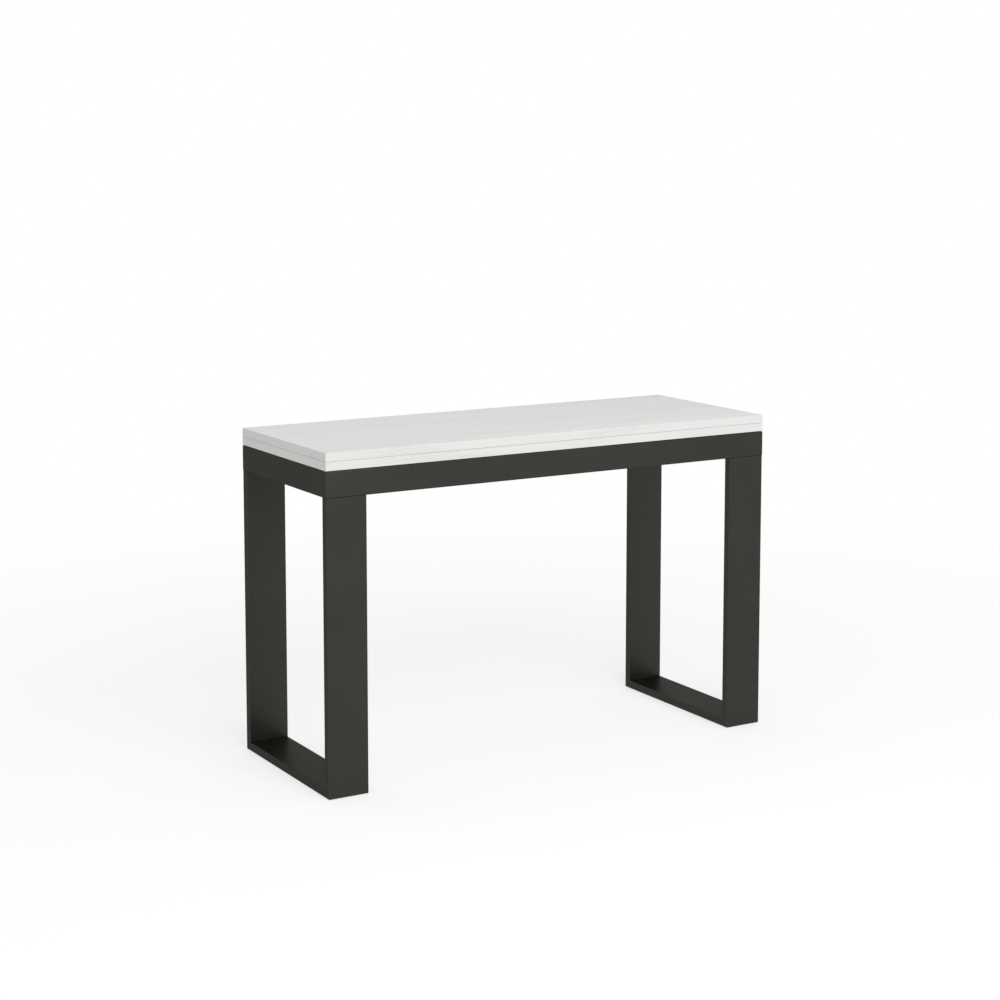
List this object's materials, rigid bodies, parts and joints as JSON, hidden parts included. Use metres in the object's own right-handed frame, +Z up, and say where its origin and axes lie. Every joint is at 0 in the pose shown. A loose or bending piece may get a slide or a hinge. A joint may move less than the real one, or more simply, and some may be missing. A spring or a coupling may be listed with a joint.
{
  "type": "extending console table",
  "caption": "Console table on two sled legs of flat tube, with a double top: the lower leaf slides forward and the upper leaf folds back to double its depth.",
  "frame": {"origin": "on the floor, under the middle of the closed table", "axes": "+X along the length to the right, +Y from the front to the rear (the hinged edge), +Z up"},
  "size_m": [1.2, 0.45, 0.7835],
  "materials": {
    "white_ash_melamine": "matt embossed",
    "white_ash_edge_band": "matt",
    "anthracite_powder_coat": "fine satin",
    "zinc_plated_steel": "zinc plated",
    "satin_nickel": "satin",
    "white_nylon": "matt",
    "black_nylon": "matt"
  },
  "bodies": {
    "frame": {"front_rail": "anthracite_powder_coat", "rear_rail": "anthracite_powder_coat", "left_end_rail": "anthracite_powder_coat", "right_end_rail": "anthracite_powder_coat", "left_cross_member": "anthracite_powder_coat", "right_cross_member": "anthracite_powder_coat", "front_left_leg": "anthracite_powder_coat", "rear_left_leg": "anthracite_powder_coat", "left_floor_bar": "anthracite_powder_coat", "front_right_leg": "anthracite_powder_coat", "rear_right_leg": "anthracite_powder_coat", "right_floor_bar": "anthracite_powder_coat", "leg_top_plates": "anthracite_powder_coat", "leg_bolts": "zinc_plated_steel", "foot_glides": "black_nylon", "rail_buttons": "white_nylon", "left_track": "zinc_plated_steel", "right_track": "zinc_plated_steel", "track_rivets": "zinc_plated_steel", "track_stops": "black_nylon"},
    "lower_leaf": {"lower_board": "white_ash_melamine", "lower_front_band": "white_ash_edge_band", "lower_rear_band": "white_ash_edge_band", "lower_left_band": "white_ash_edge_band", "lower_right_band": "white_ash_edge_band", "lower_hinge_plates": "satin_nickel", "lower_hinge_pins": "zinc_plated_steel", "lower_hinge_screws": "zinc_plated_steel", "left_carriage_angle": "zinc_plated_steel", "right_carriage_angle": "zinc_plated_steel", "roller_axles": "zinc_plated_steel", "carriage_screws": "zinc_plated_steel"},
    "upper_leaf": {"upper_board": "white_ash_melamine", "upper_front_band": "white_ash_edge_band", "upper_rear_band": "white_ash_edge_band", "upper_left_band": "white_ash_edge_band", "upper_right_band": "white_ash_edge_band", "upper_hinge_plates": "satin_nickel", "upper_hinge_pins": "zinc_plated_steel", "upper_hinge_screws": "zinc_plated_steel"},
    "hinge_links": {"hinge_links": "satin_nickel"},
    "front_left_roller": {"front_left_roller": "white_nylon"},
    "rear_left_roller": {"rear_left_roller": "white_nylon"},
    "front_right_roller": {"front_right_roller": "white_nylon"},
    "rear_right_roller": {"rear_right_roller": "white_nylon"}
  },
  "joints": [
    {"name": "top_slide", "type": "slide", "parent": "frame", "child": "lower_leaf", "axis": [0, -1, 0], "range_m": [0, 0.225]},
    {"name": "leaf_fold", "type": "hinge", "parent": "lower_leaf", "child": "upper_leaf", "pos_m": [0, 0.22525, 0.76325], "axis": [-1, 0, 0], "range_deg": [0, 180]},
    {"name": "link_swing", "type": "hinge", "parent": "lower_leaf", "child": "hinge_links", "pos_m": [0, 0.22125, 0.75925], "axis": [-1, 0, 0], "range_deg": [0, 90]},
    {"name": "front_left_roller_spin", "type": "hinge", "parent": "lower_leaf", "child": "front_left_roller", "pos_m": [-0.2803, 0.0435, 0.714], "axis": [1, 0, 0], "continuous": true},
    {"name": "rear_left_roller_spin", "type": "hinge", "parent": "lower_leaf", "child": "rear_left_roller", "pos_m": [-0.2803, 0.1815, 0.714], "axis": [1, 0, 0], "continuous": true},
    {"name": "front_right_roller_spin", "type": "hinge", "parent": "lower_leaf", "child": "front_right_roller", "pos_m": [0.2803, 0.0435, 0.714], "axis": [1, 0, 0], "continuous": true},
    {"name": "rear_right_roller_spin", "type": "hinge", "parent": "lower_leaf", "child": "rear_right_roller", "pos_m": [0.2803, 0.1815, 0.714], "axis": [1, 0, 0], "continuous": true}
  ],
  "couplings": [
    {"joint": "link_swing", "follows": "leaf_fold", "ratio": 0.5},
    {"joint": "front_left_roller_spin", "follows": "top_slide", "rad_per_m": 81.967},
    {"joint": "rear_left_roller_spin", "follows": "top_slide", "rad_per_m": 81.967},
    {"joint": "front_right_roller_spin", "follows": "top_slide", "rad_per_m": 81.967},
    {"joint": "rear_right_roller_spin", "follows": "top_slide", "rad_per_m": 81.967}
  ]
}
